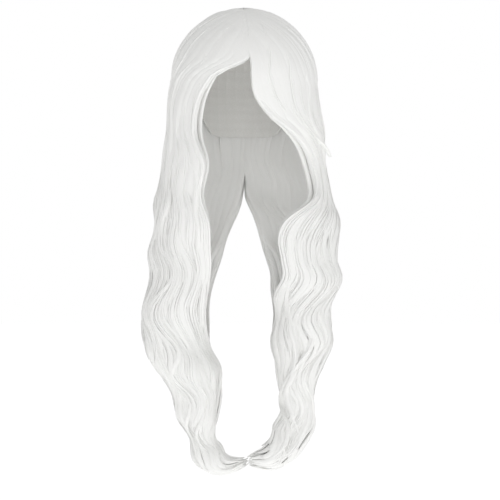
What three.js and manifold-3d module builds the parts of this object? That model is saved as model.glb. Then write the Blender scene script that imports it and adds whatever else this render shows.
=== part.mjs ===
// A long wavy wig: a thin cap that fits the head, and six masses of hair sewn to it.
// Millimetres. +Z is up, the face looks along -Y, and the origin is where the top of the head
// touches the inside of the cap. "left" is the -X side, as seen from in front of the face.
import * as THREE from "three";
import Module from "manifold-3d";

const wasm = await Module();
wasm.setup();

// The head that the cap fits.
const HEAD_WIDTH = 152;
const HEAD_DEPTH = 194;
const HEAD_RISE = 90; // from the head's widest level up to its top
const HEAD_FALL = 165; // how far the same curve would run below that level
const HEAD_KEPT = 120; // how much of the head below that level the hair keeps clear of

// The cap's wall, and the height of its edge above the widest level, round from face to nape.
const CAP_WALL = 2;
const EDGE_FOREHEAD = 26;
const EDGE_TEMPLE = 2;
const EDGE_EAR_TAB = -34;
const EDGE_BEHIND_EAR = -6;
const EDGE_NAPE = -66;

// What stays between two masses of hair, and between the hair and the cap under it.
const GAP = 0.35;
const SEAT_GAP = 0.8;

// How far the hair stands off the cap, and the long fall below it.
const HAIR_TOP = 10;
const HAIR_SIDE = 22;
const HAIR_BACK = 14;
const HAIR_DROP = 515; // from the widest level to the lowest curl
const TRESS_OFFSET = 88; // from the middle of the wig to the middle of a tress
const WHORL_LEAN = 17; // degrees that the whorl sits forward of the crown's top
const WHORL_BARE = 2; // degrees around the whorl's middle that the roots leave bare

// The hair's thickness and its locks.
const HAIR_BODY = 19; // how deep the hair is where it hangs as a sheet
const TRESS_FILL = 0.9; // how far in toward its middle a gathered tress is filled
const TRESS_CORE = 1.5; // the least radius left open at a tress's middle
const GATHER_FROM = 0.42; // the sheet gathers into a tress between these shares of the drop
const GATHER_TO = 0.66;
const GROOVE = 5; // the depth of the groove between two locks
const GROOVE_SHARE = 0.12; // the most it takes of the way in to the tress's middle
const GROOVE_AT_ROOT = 0.3; // as a share, at the whorl and at a tip
const END_SINK = 0.45; // how far an end that stops short sinks toward the tress's middle
const OVERLOCK_STEPS = 1.5; // for each row of the fall that it spans
const OVERLOCK_END = 0.25; // the width left at the ends of a lock that lies over a mass
const WAVE_LENGTH = 94;
const WAVE_SWING = 8; // sideways, each way
const WAVE_SWELL = 3; // in and out, each way
const WAVE_LAG = 1.6; // radians that the wave falls behind from the face round to the back

const CROWN_X = HEAD_WIDTH / 2 + CAP_WALL + HAIR_SIDE;
const CROWN_Y = HEAD_DEPTH / 2 + CAP_WALL + HAIR_BACK;
const CROWN_Z = HEAD_RISE + CAP_WALL + HAIR_TOP;
const WIDEST = -HEAD_RISE;

const DOME_STEPS = 6;
const FALL_STEPS = 30;
const ROOT_ANGLE = 60; // a front lock's place round the head, in degrees forward of the side
const RIB = [
  [0.2, 0.3],
  [0.5, 0],
  [0.8, 0.3],
]; // across one lock, and how deep its back lies, as a share of the groove
const ROOT_SPREAD = 2.5; // how strongly the front edge's turn fades toward the back

const radians = (degrees) => (degrees * Math.PI) / 180;
const lerp = (a, b, t) => a + (b - a) * t;
const clamp = (v, low, high) => Math.min(high, Math.max(low, v));

// The parting on the crown: how far the front edge of each side's hair turns, in degrees
// forward of the side, for each angle down from the whorl.
const PARTING = [
  { polar: 0, left: 90, right: 90 },
  { polar: 30, left: 92, right: 88 },
  { polar: 60, left: 95, right: 85 },
  { polar: 75, left: 96, right: 84 },
  { polar: 90, left: 67, right: 85 },
];

// Sections of each side's fall, from the widest level to the curl. drop is a share of
// HAIR_DROP, centre of TRESS_OFFSET, half of CROWN_X, shift and deep of CROWN_Y. lean, edge
// and back are degrees: the section's tilt, and where the hair begins at the face and ends
// behind, measured from the side.
const LEFT_FALL = [
  { drop: 0.0, centre: 0.0, half: 1.0, shift: 0.0, deep: 1.0, lean: 0, edge: 67, back: 90 },
  { drop: 0.06, centre: 0.0, half: 1.04, shift: 0.0, deep: 0.99, lean: 0, edge: 56, back: 90 },
  { drop: 0.14, centre: 0.0, half: 1.08, shift: 0.02, deep: 0.96, lean: 0, edge: 53, back: 90 },
  { drop: 0.22, centre: 0.09, half: 1.05, shift: 0.03, deep: 0.9, lean: 0, edge: 66, back: 94 },
  { drop: 0.305, centre: 0.28, half: 1.0, shift: 0.03, deep: 0.8, lean: 0, edge: 71, back: 101 },
  { drop: 0.38, centre: 0.51, half: 0.8, shift: 0.0, deep: 0.69, lean: 0, edge: 91, back: 108 },
  { drop: 0.45, centre: 0.68, half: 0.75, shift: -0.03, deep: 0.61, lean: 0, edge: 104, back: 114 },
  { drop: 0.52, centre: 0.84, half: 0.56, shift: -0.04, deep: 0.55, lean: 0, edge: 123, back: 128 },
  { drop: 0.61, centre: 1.02, half: 0.54, shift: -0.06, deep: 0.5, lean: 0, edge: 143, back: 145 },
  { drop: 0.69, centre: 1.02, half: 0.47, shift: -0.07, deep: 0.44, lean: 0, edge: 168, back: 165 },
  { drop: 0.76, centre: 0.83, half: 0.45, shift: -0.09, deep: 0.4, lean: 5, edge: 176, back: 172 },
  { drop: 0.82, centre: 0.72, half: 0.36, shift: -0.11, deep: 0.35, lean: 5, edge: 176, back: 172 },
  { drop: 0.875, centre: 0.73, half: 0.3, shift: -0.12, deep: 0.3, lean: 0, edge: 176, back: 172 },
  { drop: 0.925, centre: 0.65, half: 0.2, shift: -0.14, deep: 0.24, lean: 10, edge: 176, back: 172 },
  { drop: 0.962, centre: 0.57, half: 0.22, shift: -0.16, deep: 0.21, lean: 32, edge: 176, back: 172 },
  { drop: 0.99, centre: 0.34, half: 0.17, shift: -0.2, deep: 0.17, lean: 64, edge: 176, back: 172 },
  { drop: 0.99, centre: 0.08, half: 0.1, shift: -0.23, deep: 0.1, lean: 88, edge: 176, back: 172 },
  { drop: 0.983, centre: -0.05, half: 0.03, shift: -0.24, deep: 0.03, lean: 94, edge: 176, back: 172 },
];
const RIGHT_FALL = [
  { drop: 0.0, centre: 0.0, half: 0.99, shift: 0.0, deep: 1.0, lean: 0, edge: 85, back: 90 },
  { drop: 0.05, centre: 0.0, half: 1.03, shift: 0.0, deep: 0.99, lean: 0, edge: 83, back: 90 },
  { drop: 0.1, centre: 0.0, half: 1.08, shift: 0.01, deep: 0.98, lean: 0, edge: 72, back: 90 },
  { drop: 0.14, centre: 0.01, half: 1.1, shift: 0.02, deep: 0.96, lean: 0, edge: 56, back: 90 },
  { drop: 0.195, centre: 0.05, half: 1.09, shift: 0.03, deep: 0.92, lean: 0, edge: 41, back: 92 },
  { drop: 0.25, centre: 0.14, half: 1.04, shift: 0.03, deep: 0.87, lean: 0, edge: 34, back: 95 },
  { drop: 0.3, centre: 0.25, half: 0.99, shift: 0.02, deep: 0.8, lean: 0, edge: 42, back: 100 },
  { drop: 0.36, centre: 0.45, half: 0.92, shift: 0.0, deep: 0.71, lean: 0, edge: 80, back: 104 },
  { drop: 0.41, centre: 0.57, half: 0.81, shift: -0.02, deep: 0.65, lean: 0, edge: 95, back: 108 },
  { drop: 0.465, centre: 0.7, half: 0.67, shift: -0.03, deep: 0.6, lean: 0, edge: 102, back: 117 },
  { drop: 0.52, centre: 0.82, half: 0.62, shift: -0.05, deep: 0.55, lean: 0, edge: 114, back: 126 },
  { drop: 0.6, centre: 0.88, half: 0.41, shift: -0.07, deep: 0.49, lean: 0, edge: 165, back: 160 },
  { drop: 0.68, centre: 0.9, half: 0.44, shift: -0.08, deep: 0.44, lean: 0, edge: 176, back: 172 },
  { drop: 0.74, centre: 0.85, half: 0.36, shift: -0.1, deep: 0.4, lean: 0, edge: 176, back: 172 },
  { drop: 0.795, centre: 0.81, half: 0.26, shift: -0.12, deep: 0.35, lean: 0, edge: 176, back: 172 },
  { drop: 0.845, centre: 0.83, half: 0.24, shift: -0.14, deep: 0.3, lean: 0, edge: 176, back: 172 },
  { drop: 0.895, centre: 0.78, half: 0.3, shift: -0.16, deep: 0.27, lean: 12, edge: 176, back: 172 },
  { drop: 0.95, centre: 0.61, half: 0.25, shift: -0.2, deep: 0.22, lean: 42, edge: 176, back: 172 },
  { drop: 0.98, centre: 0.38, half: 0.18, shift: -0.24, deep: 0.17, lean: 62, edge: 176, back: 172 },
  { drop: 0.988, centre: 0.2, half: 0.1, shift: -0.27, deep: 0.1, lean: 78, edge: 176, back: 172 },
  { drop: 0.988, centre: 0.1, half: 0.03, shift: -0.28, deep: 0.03, lean: 84, edge: 176, back: 172 },
];

// A smooth curve through one column of a table, t counted in rows.
function smooth(rows, column, t) {
  const last = rows.length - 1;
  const i = clamp(Math.floor(t), 0, last - 1);
  const u = clamp(t - i, 0, 1);
  const at = (n) => rows[clamp(n, 0, last)][column];
  const [p0, p1, p2, p3] = [at(i - 1), at(i), at(i + 1), at(i + 2)];
  const bend = 2 * p0 - 5 * p1 + 4 * p2 - p3 + (3 * p1 - p0 - 3 * p2 + p3) * u;
  return p1 + 0.5 * u * (p2 - p0 + u * bend);
}

// A straight-line reading of one column of a table against another.
function reading(rows, key, column, value) {
  const i = rows.findIndex((row) => row[key] >= value);
  if (i <= 0) return rows[0][column];
  const [a, b] = [rows[i - 1], rows[i]];
  return lerp(a[column], b[column], (value - a[key]) / (b[key] - a[key]));
}

const SIDES = {
  left: { sign: -1, name: "left", fall: LEFT_FALL, phase: 0.4 },
  right: { sign: 1, name: "right", fall: RIGHT_FALL, phase: 2.2 },
};

// Turns a place round the hair, a from 0 at the face to 1 behind, into an angle from the side.
function angleAt(edge, back, a, spread) {
  return lerp(-ROOT_ANGLE, back, a) + (ROOT_ANGLE - edge) * Math.pow(Math.max(0, 1 - a), spread);
}

// A point of the hair's outer surface: t is 0 at the whorl, 1 at the widest level, and then
// counts the rows of the fall. The crown is part of an ellipsoid whose pole is the whorl.
function surfacePoint(side, a, t) {
  if (t <= 1) {
    const polar = lerp(WHORL_BARE, 90, t);
    const edge = reading(PARTING, "polar", side.name, polar);
    const angle = radians(angleAt(edge, 90, a, ROOT_SPREAD));
    const lean = radians(WHORL_LEAN * (1 - t));
    const direction = new THREE.Vector3(
      side.sign * Math.cos(angle) * Math.sin(radians(polar)),
      Math.sin(angle) * Math.sin(radians(polar)),
      Math.cos(radians(polar)),
    ).applyAxisAngle(new THREE.Vector3(1, 0, 0), lean);
    return new THREE.Vector3(
      direction.x * CROWN_X,
      direction.y * CROWN_Y,
      WIDEST + direction.z * CROWN_Z,
    );
  }
  const column = (name) => smooth(side.fall, name, t - 1);
  const spread = lerp(ROOT_SPREAD, 1, clamp(column("drop") / GATHER_TO, 0, 1));
  const angle = radians(angleAt(column("edge"), column("back"), a, spread));
  const lean = radians(column("lean"));
  const out = Math.cos(angle) * column("half") * CROWN_X;
  return new THREE.Vector3(
    side.sign * (column("centre") * TRESS_OFFSET + out * Math.cos(lean)),
    column("shift") * CROWN_Y + Math.sin(angle) * column("deep") * CROWN_Y,
    WIDEST - column("drop") * HAIR_DROP - out * Math.sin(lean),
  );
}

// The middle of the section that a point of the surface belongs to.
function sectionMiddle(side, t) {
  const row = Math.max(0, t - 1);
  const column = (name) => smooth(side.fall, name, row);
  return new THREE.Vector3(
    side.sign * column("centre") * TRESS_OFFSET,
    column("shift") * CROWN_Y,
    WIDEST - column("drop") * HAIR_DROP,
  );
}

// The surface's point, its direction of growth, and its outward and sideways normals.
function surfaceFrame(side, a, t) {
  const step = 0.02;
  const point = surfacePoint(side, a, t);
  const along = surfacePoint(side, a, t + step).sub(surfacePoint(side, a, t - step)).normalize();
  const round = surfacePoint(side, a + step, t).sub(surfacePoint(side, a - step, t));
  const spacing = round.length() / (2 * step);
  const across = round.addScaledVector(along, -round.dot(along)).normalize();
  const out = across.clone().cross(along).multiplyScalar(-side.sign);
  return { point, along, out, across, spacing };
}

// How far the hair has run from the whorl at each station, down the middle of one side.
function stationsOf(side) {
  const places = [];
  for (let k = 0; k < DOME_STEPS; k++) places.push(k / DOME_STEPS);
  for (let k = 0; k <= FALL_STEPS; k++) places.push(lerp(1, side.fall.length, k / FALL_STEPS));
  let run = 0;
  let before = surfacePoint(side, 0.5, 0);
  return places.map((t) => {
    const here = surfacePoint(side, 0.5, t);
    run += here.distanceTo(before);
    before = here;
    return { t, run };
  });
}

// A place on the waving surface: the wave slides it sideways and swells it in and out.
function wavingFrame(side, a, station) {
  const { t, run } = station;
  const turn = (run / WAVE_LENGTH) * 2 * Math.PI + side.phase + a * WAVE_LAG;
  const last = side.fall.length;
  const waving = clamp(t - 0.4, 0, 1) * clamp((last - t) / 4 + 0.2, 0, 1);
  const inside = clamp(5 * a * (1 - a), 0, 1);
  const still = surfaceFrame(side, a, t);
  const sway = (WAVE_SWING * waving * inside * Math.sin(turn)) / still.spacing;
  const frame = surfaceFrame(side, a + sway, t);
  frame.point.addScaledVector(frame.out, (WAVE_SWELL * waving * (Math.cos(turn) - 1)) / 2);
  return frame;
}

// Triangles that close a ring, found on the plane that suits it best.
function capFaces(ring) {
  const middle = ring.reduce((sum, p) => sum.add(p), new THREE.Vector3()).divideScalar(ring.length);
  const normal = new THREE.Vector3();
  ring.forEach((p, i) => {
    const next = ring[(i + 1) % ring.length];
    normal.add(p.clone().sub(middle).cross(next.clone().sub(middle)));
  });
  normal.normalize();
  const u = ring[0].clone().sub(middle).cross(normal).normalize();
  const v = u.clone().cross(normal);
  const flat = ring.map((p) => new THREE.Vector2(p.dot(u), p.dot(v)));
  const faces = THREE.ShapeUtils.triangulateShape(flat, []);
  const follows = (a, b) => (a + 1) % ring.length === b;
  const forward = faces.some(([a, b, c]) => follows(a, b) || follows(b, c) || follows(c, a));
  return forward ? faces : faces.map(([a, b, c]) => [a, c, b]);
}

// A closed solid through rings of points that all run the same way round. The last column of
// quads splits the other way, so that the facing walls of two neighbours have equal facets.
function loft(rings) {
  const size = rings[0].length;
  const positions = rings.flat().flatMap((p) => [p.x, p.y, p.z]);
  const index = [];
  for (let r = 0; r + 1 < rings.length; r++)
    for (let i = 0; i < size; i++) {
      const [a, b] = [r * size + i, r * size + ((i + 1) % size)];
      const [over, beside] = [b + size, a + size];
      if (i < size - 1) index.push(a, b, over, a, over, beside);
      else index.push(a, b, beside, b, over, beside);
    }
  const last = (rings.length - 1) * size;
  for (const [a, b, c] of capFaces(rings[0])) index.push(a, c, b);
  for (const [a, b, c] of capFaces(rings[rings.length - 1])) index.push(last + a, last + b, last + c);
  const closed = (triVerts) =>
    new wasm.Manifold(
      new wasm.Mesh({
        numProp: 3,
        vertProperties: new Float32Array(positions),
        triVerts: new Uint32Array(triVerts),
      }),
    );
  const solid = closed(index);
  return solid.volume() > 0 ? solid : closed(index.reverse());
}

// The cap's edge, as a height above the widest level, for an angle round from the face.
function edgeHeight(angle) {
  const stops = [
    { at: 0, height: EDGE_FOREHEAD },
    { at: 28, height: EDGE_FOREHEAD },
    { at: 55, height: EDGE_TEMPLE },
    { at: 76, height: EDGE_EAR_TAB },
    { at: 88, height: EDGE_EAR_TAB },
    { at: 108, height: EDGE_BEHIND_EAR },
    { at: 145, height: EDGE_NAPE },
    { at: 180, height: EDGE_NAPE },
  ];
  const i = Math.max(1, stops.findIndex((stop) => stop.at >= angle));
  const [a, b] = [stops[i - 1], stops[i]];
  const u = (angle - a.at) / (b.at - a.at);
  return lerp(a.height, b.height, u * u * (3 - 2 * u));
}

// A point of the head's form, grown by some thickness, at a height above the widest level.
function headPoint(angle, height, grow) {
  const reach = height > 0 ? HEAD_RISE + grow : HEAD_FALL;
  const level = Math.sqrt(Math.max(0, 1 - (height / reach) ** 2));
  return new THREE.Vector3(
    Math.sin(angle) * (HEAD_WIDTH / 2 + grow) * level,
    -Math.cos(angle) * (HEAD_DEPTH / 2 + grow) * level,
    WIDEST + height,
  );
}

const CAP_SIDES = 36;
const CAP_LEVELS = 8;
const CAP_POLE = 0.04; // the small flat at the top, as a share of the way down

function headRing(share, grow, edgeOf) {
  const ring = [];
  for (let i = 0; i < CAP_SIDES; i++) {
    const turn = (i / CAP_SIDES) * 360;
    const rise = HEAD_RISE + grow;
    const polar = share * Math.acos(clamp(edgeOf(Math.min(turn, 360 - turn)) / rise, -1, 1));
    ring.push(headPoint(radians(turn), rise * Math.cos(polar), grow));
  }
  return ring;
}

function capShell() {
  const shares = [];
  for (let k = 0; k <= CAP_LEVELS; k++) shares.push(lerp(CAP_POLE, 1, k / CAP_LEVELS));
  const inside = shares.map((share) => headRing(share, 0, edgeHeight));
  const outside = shares.map((share) => headRing(share, CAP_WALL, edgeHeight));
  return loft([...inside, ...outside.reverse()]);
}

// The room that the hair leaves for the cap, the face and the neck.
function headRoom() {
  const grow = CAP_WALL + SEAT_GAP;
  const rings = [];
  for (let k = 0; k <= CAP_LEVELS; k++) {
    const polar = lerp(CAP_POLE * 0.5, 1, k / CAP_LEVELS) * (Math.PI / 2);
    rings.push(headRing(1, grow, () => (HEAD_RISE + grow) * Math.cos(polar)));
  }
  const steps = 4;
  for (let k = 1; k <= steps; k++) rings.push(headRing(1, grow, () => (-HEAD_KEPT * k) / steps));
  return loft(rings);
}

// The masses of one side, from the face round to the back. The borders between them, as
// shares of the way round, move along the fall, so that a mass can end before the tress does.
const MASSES = [
  { name: "bangs", from: "face", to: "temple", locks: [0, 0.55, 1], ends: 5 },
  { name: "side_hair", from: "temple", to: "ear", locks: [0, 0.3, 0.68, 1], ends: 0 },
  { name: "back_hair", from: "ear", to: "nape", locks: [0, 0.36, 0.7, 1], ends: 3 },
];
const BORDERS = [
  { fall: 0, face: 0, temple: 0.27, ear: 0.62, nape: 1 },
  { fall: 0.25, face: 0, temple: 0.27, ear: 0.6, nape: 1 },
  { fall: 0.56, face: 0, temple: 0.3, ear: 0.66, nape: 1 },
  { fall: 0.69, face: 0, temple: 0.26, ear: 0.68, nape: 1 },
  { fall: 0.78, face: 0, temple: 0.17, ear: 0.74, nape: 1 },
  { fall: 0.833, face: 0, temple: 0.09, ear: 0.8, nape: 1 },
  { fall: 0.9, face: 0, temple: 0, ear: 0.88, nape: 1 },
  { fall: 0.94, face: 0, temple: 0, ear: 1, nape: 1 },
  { fall: 1, face: 0, temple: 0, ear: 1, nape: 1 },
];

// One mass of hair as a closed solid: its outside is ribbed into locks, and its inside goes
// in from the surface by the hair's own depth, or almost to the middle of a gathered tress.
function massSolid(side, mass) {
  const stations = stationsOf(side);
  const kept = stations.slice(0, stations.length - mass.ends);
  const rings = kept.map((station, k) => {
    const row = Math.max(0, station.t - 1);
    const fallen = row / (side.fall.length - 1);
    const [from, to] = [mass.from, mass.to].map((name) => reading(BORDERS, "fall", name, fallen));
    const thick = Math.min(clamp(station.t * 1.4, 0, 1), clamp((stations.length - 1 - k) / 5, 0, 1));
    const middle = sectionMiddle(side, station.t);
    const drop = smooth(side.fall, "drop", row);
    const gathered = clamp((drop - GATHER_FROM) / (GATHER_TO - GATHER_FROM), 0, 1);
    const inward = (point) => {
      const radius = point.distanceTo(middle);
      return Math.min(lerp(HAIR_BODY / radius, TRESS_FILL, gathered), 1 - TRESS_CORE / radius);
    };
    const sunk = mass.ends > 0 ? END_SINK * clamp(1 - (kept.length - 1 - k) / 3, 0, 1) : 0;
    const place = (share, deep) => {
      const frame = wavingFrame(side, lerp(from, to, share), station);
      const groove = GROOVE * lerp(GROOVE_AT_ROOT, 1, thick);
      const relief = Math.min(groove, GROOVE_SHARE * frame.point.distanceTo(middle));
      const surface = frame.point.addScaledVector(frame.out, -relief * deep).lerp(middle, sunk);
      return { surface, across: frame.across };
    };
    const outer = [];
    const inner = [];
    mass.locks.forEach((share, i) => {
      const edge = i === 0 ? 1 : i === mass.locks.length - 1 ? -1 : 0;
      const here = place(share, 1);
      const seam = lerp(from, to, share) === 0 || lerp(from, to, share) === 1;
      const clear = (seam ? GAP * (1 - gathered) : GAP) * (1 + 2 * sunk);
      const slide = (point) => point.addScaledVector(here.across, (edge * clear) / 2);
      outer.push(slide(here.surface.clone()));
      inner.push(slide(here.surface.clone().lerp(middle, inward(here.surface))));
      if (i === mass.locks.length - 1) return;
      const next = mass.locks[i + 1];
      for (const [u, deep] of RIB) outer.push(place(lerp(share, next, u), deep).surface);
    });
    return [...outer, ...inner.reverse()];
  });
  return loft(rings);
}

// Locks that lie over a mass and end free: from one place on it to another, a being the
// share of the way round and row the row of the fall (below 0 is the crown).
const OVERLOCKS = [
  { side: "left", mass: "bangs", from: { row: -0.75, a: 0.12 }, to: { row: 3, a: 0.2 }, width: 30, rise: 3 },
  { side: "left", mass: "bangs", from: { row: 0.6, a: 0.2 }, to: { row: 5, a: 0.06 }, width: 24, rise: 3 },
  { side: "left", mass: "side_hair", from: { row: 8.6, a: 0.55 }, to: { row: 13, a: 0.44 }, width: 24, rise: 5 },
  { side: "left", mass: "back_hair", from: { row: 1, a: 0.74 }, to: { row: 8, a: 0.88 }, width: 30, rise: 3 },
  { side: "right", mass: "bangs", from: { row: -0.75, a: 0.11 }, to: { row: 4.4, a: 0.21 }, width: 30, rise: 3 },
  { side: "right", mass: "bangs", from: { row: 9, a: 0.07 }, to: { row: 13, a: 0.19 }, width: 22, rise: 4 },
  { side: "right", mass: "side_hair", from: { row: 0.6, a: 0.37 }, to: { row: 4.6, a: 0.42 }, width: 22, rise: 5 },
  { side: "right", mass: "back_hair", from: { row: 2, a: 0.72 }, to: { row: 9, a: 0.86 }, width: 30, rise: 3 },
];
const OVERLOCK_SECTION = [
  { across: -1, out: 0 },
  { across: -0.6, out: 0.8 },
  { across: 0, out: 1 },
  { across: 0.6, out: 0.8 },
  { across: 1, out: 0 },
  { across: 0, out: -1 },
];

function overlock(side, { from, to, width, rise }) {
  const stations = stationsOf(side);
  const steps = Math.round((to.row - from.row) * OVERLOCK_STEPS);
  const rings = [];
  for (let k = 0; k <= steps; k++) {
    const s = k / steps;
    const t = lerp(from.row, to.row, s) + 1;
    const run = reading(stations, "t", "run", t);
    const frame = wavingFrame(side, lerp(from.a, to.a, s), { t, run });
    const swell = lerp(OVERLOCK_END, 1, Math.sqrt(Math.sin(Math.PI * lerp(0.04, 0.96, s))));
    rings.push(
      OVERLOCK_SECTION.map(({ across, out }) =>
        frame.point
          .clone()
          .addScaledVector(frame.across, (across * width * swell) / 2)
          .addScaledVector(frame.out, (out > 0 ? out * rise * swell : out * GROOVE) - (1 - swell) * rise),
      ),
    );
  }
  return loft(rings);
}

const joined = (solids) => solids.reduce((a, b) => a.add(b));

const whole = (solid) =>
  solid.decompose().reduce((a, b) => (a.volume() > b.volume() ? a : b));

function material(color, roughness) {
  return new THREE.MeshStandardMaterial({ color, roughness, metalness: 0 });
}

function mesh(name, solid, look) {
  const data = solid.getMesh();
  const stride = data.numProp;
  const positions = new Float32Array(data.numVert * 3);
  for (let i = 0; i < data.numVert; i++)
    positions.set(data.vertProperties.subarray(i * stride, i * stride + 3), i * 3);
  const geometry = new THREE.BufferGeometry();
  geometry.setAttribute("position", new THREE.BufferAttribute(positions, 3));
  geometry.setIndex(new THREE.BufferAttribute(data.triVerts, 1));
  geometry.computeVertexNormals();
  const made = new THREE.Mesh(geometry, look);
  made.name = name;
  return made;
}

const hairLook = material(0xf1f1ef, 0.45);
const capLook = material(0xe9e4da, 0.85);

const wig = new THREE.Group();
wig.name = "long_wavy_wig";
wig.add(mesh("wig_cap", capShell(), capLook));

const room = headRoom();
for (const mass of MASSES)
  for (const side of [SIDES.left, SIDES.right]) {
    const over = OVERLOCKS.filter((row) => row.side === side.name && row.mass === mass.name);
    const solid = whole(
      joined([massSolid(side, mass), ...over.map((row) => overlock(side, row))]).subtract(room),
    );
    wig.add(mesh(`${mass.name}_${side.name}`, solid, hairLook));
  }

export default wig;
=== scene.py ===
# A long wavy wig: a net cap that fits a head, and hair that hangs from it in six masses.
# Metres. +Z is up, the face looks along -Y, and the origin is the top of the head.
# "left" is the -X side, as seen from in front of the face.
import math

import bpy
import numpy as np
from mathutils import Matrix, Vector


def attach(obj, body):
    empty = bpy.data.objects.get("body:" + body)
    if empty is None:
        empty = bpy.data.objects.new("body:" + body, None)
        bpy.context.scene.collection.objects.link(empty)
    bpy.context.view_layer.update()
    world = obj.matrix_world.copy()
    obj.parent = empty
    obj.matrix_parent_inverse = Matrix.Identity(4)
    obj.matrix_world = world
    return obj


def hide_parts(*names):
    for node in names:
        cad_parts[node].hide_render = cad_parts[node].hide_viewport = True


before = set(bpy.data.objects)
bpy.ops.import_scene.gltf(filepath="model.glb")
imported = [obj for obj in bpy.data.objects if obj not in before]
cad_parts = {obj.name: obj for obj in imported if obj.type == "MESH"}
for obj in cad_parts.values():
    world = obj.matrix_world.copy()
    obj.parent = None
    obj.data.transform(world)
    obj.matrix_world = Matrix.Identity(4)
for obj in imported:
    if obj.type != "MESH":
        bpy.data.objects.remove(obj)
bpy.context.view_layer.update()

# The head that the cap fits, and how far the hair stands off it.
HEAD_WIDTH = 0.152
HEAD_DEPTH = 0.194
HEAD_RISE = 0.090
HEAD_FALL = 0.165
HEAD_KEPT = 0.120
CAP_WALL = 0.002
CAP_CLEAR = 0.0015
HAIR_TOP = 0.010
HAIR_SIDE = 0.022
HAIR_BACK = 0.014
HAIR_BODY = 0.019
HAIR_DROP = 0.515
TRESS_OFFSET = 0.088

CROWN_X = HEAD_WIDTH / 2 + CAP_WALL + HAIR_SIDE
CROWN_Y = HEAD_DEPTH / 2 + CAP_WALL + HAIR_BACK
CROWN_Z = HEAD_RISE + CAP_WALL + HAIR_TOP
WIDEST = -HEAD_RISE

# The whorl leans forward and has a small bare spot, in degrees across its half.
WHORL_LEAN = math.radians(17)
WHORL_BARE = 0.5

# Places round the hair are spread evenly from ROOT_ANGLE degrees forward of the side to the
# middle line behind. Near the front edge they turn on to the parting or the hem, and the
# more of ROOT_SPREAD there is, the closer to the edge they do so.
ROOT_ANGLE = 60
ROOT_SPREAD = 2.5

# Between these shares of HAIR_DROP the hair closes from a shell into a full tress, which is
# hair for this share of its radius.
GATHER_FROM = 0.42
GATHER_TO = 0.66
TRESS_FILL = 0.9

# The wave: its length, how far it slides the hair sideways and sinks it, how far it lags
# from the front to the back in radians, and the slow drift that keeps its turns unequal:
# its size in radians, and its own radians a metre along the hair and from front to back.
WAVE_LENGTH = 0.094
WAVE_SWING = 0.008
WAVE_SWELL = 0.003
WAVE_LAG = 1.6
DRIFT = 0.7
DRIFT_ALONG = 17
DRIFT_ROUND = 5

# The parting: how far each side's front edge turns, in degrees forward of the side, at every
# PARTING_STEP degrees down from the whorl.
PARTING_STEP = 15
PARTING = {
    "left": (90, 91, 92, 94, 95, 93, 67),
    "right": (90, 89, 88, 86, 85, 84, 85),
}

# Sections of each side's fall. drop is a share of HAIR_DROP, centre of TRESS_OFFSET, half of
# CROWN_X, shift and deep of CROWN_Y; lean, edge and back are degrees.
FALL_COLUMNS = ("drop", "centre", "half", "shift", "deep", "lean", "edge", "back")
LEFT_FALL = (
    (0.0, 0.0, 1.0, 0.0, 1.0, 0, 67, 90),
    (0.06, 0.0, 1.04, 0.0, 0.99, 0, 56, 90),
    (0.14, 0.0, 1.08, 0.02, 0.96, 0, 53, 90),
    (0.22, 0.09, 1.05, 0.03, 0.9, 0, 66, 94),
    (0.305, 0.28, 1.0, 0.03, 0.8, 0, 71, 101),
    (0.38, 0.51, 0.8, 0.0, 0.69, 0, 91, 108),
    (0.45, 0.68, 0.75, -0.03, 0.61, 0, 104, 114),
    (0.52, 0.84, 0.56, -0.04, 0.55, 0, 123, 128),
    (0.61, 1.02, 0.54, -0.06, 0.5, 0, 143, 145),
    (0.69, 1.02, 0.47, -0.07, 0.44, 0, 168, 165),
    (0.76, 0.83, 0.45, -0.09, 0.4, 5, 176, 172),
    (0.82, 0.72, 0.36, -0.11, 0.35, 5, 176, 172),
    (0.875, 0.73, 0.3, -0.12, 0.3, 0, 176, 172),
    (0.925, 0.65, 0.2, -0.14, 0.24, 10, 176, 172),
    (0.968, 0.57, 0.24, -0.16, 0.21, 34, 176, 172),
    (1.0, 0.34, 0.18, -0.2, 0.17, 66, 176, 172),
    (0.997, 0.08, 0.11, -0.23, 0.1, 88, 176, 172),
    (0.986, -0.08, 0.05, -0.24, 0.03, 94, 176, 172),
)
RIGHT_FALL = (
    (0.0, 0.0, 0.99, 0.0, 1.0, 0, 85, 90),
    (0.05, 0.0, 1.03, 0.0, 0.99, 0, 83, 90),
    (0.1, 0.0, 1.08, 0.01, 0.98, 0, 72, 90),
    (0.14, 0.01, 1.1, 0.02, 0.96, 0, 56, 90),
    (0.195, 0.05, 1.09, 0.03, 0.92, 0, 41, 92),
    (0.25, 0.14, 1.04, 0.03, 0.87, 0, 34, 95),
    (0.3, 0.25, 0.99, 0.02, 0.8, 0, 42, 100),
    (0.36, 0.45, 0.92, 0.0, 0.71, 0, 80, 104),
    (0.41, 0.57, 0.81, -0.02, 0.65, 0, 95, 108),
    (0.465, 0.7, 0.67, -0.03, 0.6, 0, 102, 117),
    (0.52, 0.82, 0.62, -0.05, 0.55, 0, 114, 126),
    (0.6, 0.88, 0.41, -0.07, 0.49, 0, 165, 160),
    (0.68, 0.9, 0.44, -0.08, 0.44, 0, 176, 172),
    (0.74, 0.85, 0.36, -0.1, 0.4, 0, 176, 172),
    (0.795, 0.81, 0.26, -0.12, 0.35, 0, 176, 172),
    (0.845, 0.83, 0.24, -0.14, 0.3, 0, 176, 172),
    (0.895, 0.78, 0.3, -0.16, 0.27, 12, 176, 172),
    (0.95, 0.61, 0.25, -0.2, 0.22, 42, 176, 172),
    (0.978, 0.37, 0.2, -0.24, 0.17, 62, 176, 172),
    (0.984, 0.2, 0.14, -0.27, 0.1, 76, 176, 172),
    (0.986, 0.04, 0.06, -0.28, 0.03, 84, 176, 172),
)
# How fine a side is charted: stations along it, and places round it and along it.
STATIONS = 400
CHART = (161, 440)
CHART_TOP = 0.03
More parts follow.
